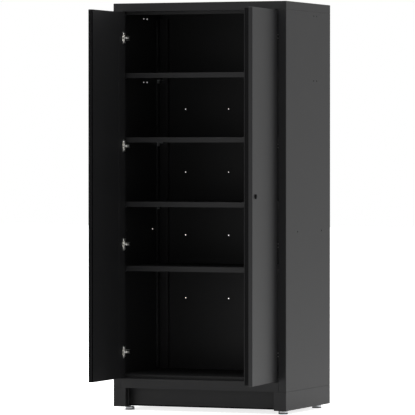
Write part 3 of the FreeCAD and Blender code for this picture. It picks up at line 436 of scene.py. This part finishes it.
HINGE_OFFSETS = [offset * MM for offset in (-778, -243.5, 243.5, 778)]
FLANGE_SCREW_RADIUS, FLANGE_SCREW_HEIGHT = 4 * MM, 2 * MM
FLANGE_SCREW_OFFSET = 20 * MM
CUP_INSET = 22.5 * MM
FLANGE_FACE = 22.5 * MM
PLATE_SCREW_OFFSET = 19 * MM
PLATE_SCREW_SETBACK = 39.5 * MM
ARM_SCREW_RADIUS, ARM_SCREW_HEIGHT = 3.2 * MM, 1.8 * MM
ARM_FLOOR = 1.5 * MM
ARM_SCREW_SETBACKS = [setback * MM for setback in (48.4, 55.6)]
for side, inward in (("left", 1), ("right", -1)):
    cup_screws, plate_screws = bmesh.new(), bmesh.new()
    plate_low, plate_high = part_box(side + "_hinge_plates")
    plate_face = plate_high.x if side == "left" else plate_low.x
    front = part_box(side + "_side_panel")[0].y
    for offset in HINGE_OFFSETS:
        level = (plate_low.z + plate_high.z) / 2 + offset
        for rise in (-FLANGE_SCREW_OFFSET, FLANGE_SCREW_OFFSET):
            seat = facing((inward * CUP_INSET, FLANGE_FACE, level + rise), (0, 1, 0))
            add_screw_head(cup_screws, FLANGE_SCREW_RADIUS, FLANGE_SCREW_HEIGHT,
                           door_place[side + "_door"] @ seat)
        for rise in (-PLATE_SCREW_OFFSET, PLATE_SCREW_OFFSET):
            seat = facing((plate_face, front + PLATE_SCREW_SETBACK, level + rise), (inward, 0, 0))
            add_screw_head(plate_screws, FLANGE_SCREW_RADIUS, FLANGE_SCREW_HEIGHT, seat)
        for setback in ARM_SCREW_SETBACKS:
            seat = facing((plate_face + inward * ARM_FLOOR, front + setback, level), (inward, 0, 0))
            add_screw_head(plate_screws, ARM_SCREW_RADIUS, ARM_SCREW_HEIGHT, seat)
    finished_piece(side + "_hinge_cup_screws", cup_screws, nickel_plate, side + "_door")
    finished_piece(side + "_hinge_plate_screws", plate_screws, nickel_plate, "cabinet")

# Lock: a die-cast housing with a key cylinder, both lacquered a flat black, in the right door. Its cam
# and the two rods that it drives are zinc-plated steel and run in nylon guides inside the channel.
# The lacquer hardly shines. The casting's grain under it is drawn at 1.2 mm so that it shows.
CASTING_GRAIN_MM = 1.2
black_casting = new_finish(
    "black_lacquered_zinc_casting", tones=("#08080a", "#0e0e10"), grain_mm=CASTING_GRAIN_MM,
    roughness=(0.5, 0.62), relief_mm=0.02, relief_strength=0.25, Specular_IOR_Level=0.04)
coat(black_casting, "lock_housing", "lock_cylinder")
coat(zinc_plate, "lock_cam", "upper_rod", "lower_rod")
coat(black_nylon, "rod_guides")

# Studio: the camera sees a plain white surround, which lights the cabinet evenly. Reflections see it
# dimmer, most of all in front of the cabinet. The floor is pale and keeps the cabinet's shadow, and one
# large lamp hangs overhead.
WHITE_SURROUND = 1.0
ROOM_LIGHT = 0.9
SWEEP_FRONT, SWEEP_BACK = 0.4, 0.62
SWEEP_START, SWEEP_END = -0.3, 0.5
world = bpy.data.worlds.new("studio")
bpy.context.scene.world = world
world.use_nodes = True
sky = world.node_tree
sky_sight = add_node(sky, "ShaderNodeLightPath", {})
sky_place = add_node(sky, "ShaderNodeTexCoord", {}).outputs["Generated"]
heading = add_node(sky, "ShaderNodeSeparateXYZ", {"Vector": sky_place})
sweep = add_node(sky, "ShaderNodeMapRange", {
    "Value": heading.outputs["Y"], "From Min": SWEEP_START, "From Max": SWEEP_END,
    "To Min": SWEEP_FRONT, "To Max": SWEEP_BACK})
# The sockets of a Mix node that mixes plain numbers
share_in, first_in, second_in = 0, 2, 3
mirrored_sky = add_node(sky, "ShaderNodeMix", {
    share_in: sky_sight.outputs["Is Glossy Ray"], first_in: ROOM_LIGHT,
    second_in: sweep.outputs["Result"]}).outputs[0]
seen_sky = add_node(sky, "ShaderNodeMix", {
    share_in: sky_sight.outputs["Is Camera Ray"], first_in: mirrored_sky,
    second_in: WHITE_SURROUND}).outputs[0]
sky.links.new(seen_sky, sky.nodes["Background"].inputs["Strength"])
sky.nodes["Background"].inputs["Color"].default_value = linear("#ffffff")

FLOOR_REACH = 40
FLOOR_GLOW, FLOOR_MIRRORED_GLOW = 0.8, 0.1
floor_form = bmesh.new()
bmesh.ops.create_grid(floor_form, x_segments=1, y_segments=1, size=FLOOR_REACH)
floor_mesh = bpy.data.meshes.new("studio_floor")
floor_form.to_mesh(floor_mesh)
floor_form.free()
floor = bpy.data.objects.new("studio_floor", floor_mesh)
bpy.context.scene.collection.objects.link(floor)
floor_paint, floor_tree, floor_shader, _ = new_material(
    "pale_floor_paint", Base_Color=linear("#f2f2f2"), Roughness=0.9, Emission_Color=linear("#ffffff"))
floor_sight = add_node(floor_tree, "ShaderNodeLightPath", {})
mirrored_glow = add_node(floor_tree, "ShaderNodeMath", {
    0: floor_sight.outputs["Is Glossy Ray"], 1: FLOOR_MIRRORED_GLOW}, operation="MULTIPLY").outputs[0]
glow = add_node(floor_tree, "ShaderNodeMath", {
    0: floor_sight.outputs["Is Camera Ray"], 1: FLOOR_GLOW, 2: mirrored_glow}, operation="MULTIPLY_ADD")
floor_tree.links.new(glow.outputs[0], floor_shader.inputs["Emission Strength"])
floor_mesh.materials.append(floor_paint)

LAMP_SIZE, LAMP_POWER = 4.0, 250
LAMP_PLACE, LAMP_TARGET = Vector((0.5, -1.0, 6.0)), Vector((0.2, 0.0, 0.0))
lamp = bpy.data.lights.new("overhead_lamp", "AREA")
lamp.size = LAMP_SIZE
lamp.energy = LAMP_POWER
lamp_holder = bpy.data.objects.new("overhead_lamp", lamp)
lamp_holder.location = LAMP_PLACE
lamp_holder.rotation_euler = (LAMP_TARGET - LAMP_PLACE).to_track_quat("-Z", "Y").to_euler()
bpy.context.scene.collection.objects.link(lamp_holder)

# Camera: far off with a long lens, tipped down by less than a degree, and standing to the right of the
# cabinet's front, as in the photograph.
LENS_MM, SENSOR_MM = 315.6, 36
CAMERA_PLACE = (6.8935, -16.8124, 1.295)
CAMERA_TIP, CAMERA_TURN = math.radians(0.91), math.radians(22.53)
VIEW_END = 100
camera_data = bpy.data.cameras.new("photo_camera")
camera_data.lens = LENS_MM
camera_data.sensor_width = SENSOR_MM
camera_data.clip_end = VIEW_END
camera = bpy.data.objects.new("photo_camera", camera_data)
camera.location = CAMERA_PLACE
camera.rotation_euler = (math.pi / 2 - CAMERA_TIP, 0, CAMERA_TURN)
bpy.context.scene.collection.objects.link(camera)
bpy.context.scene.camera = camera
bpy.context.scene.view_settings.view_transform = "Standard"
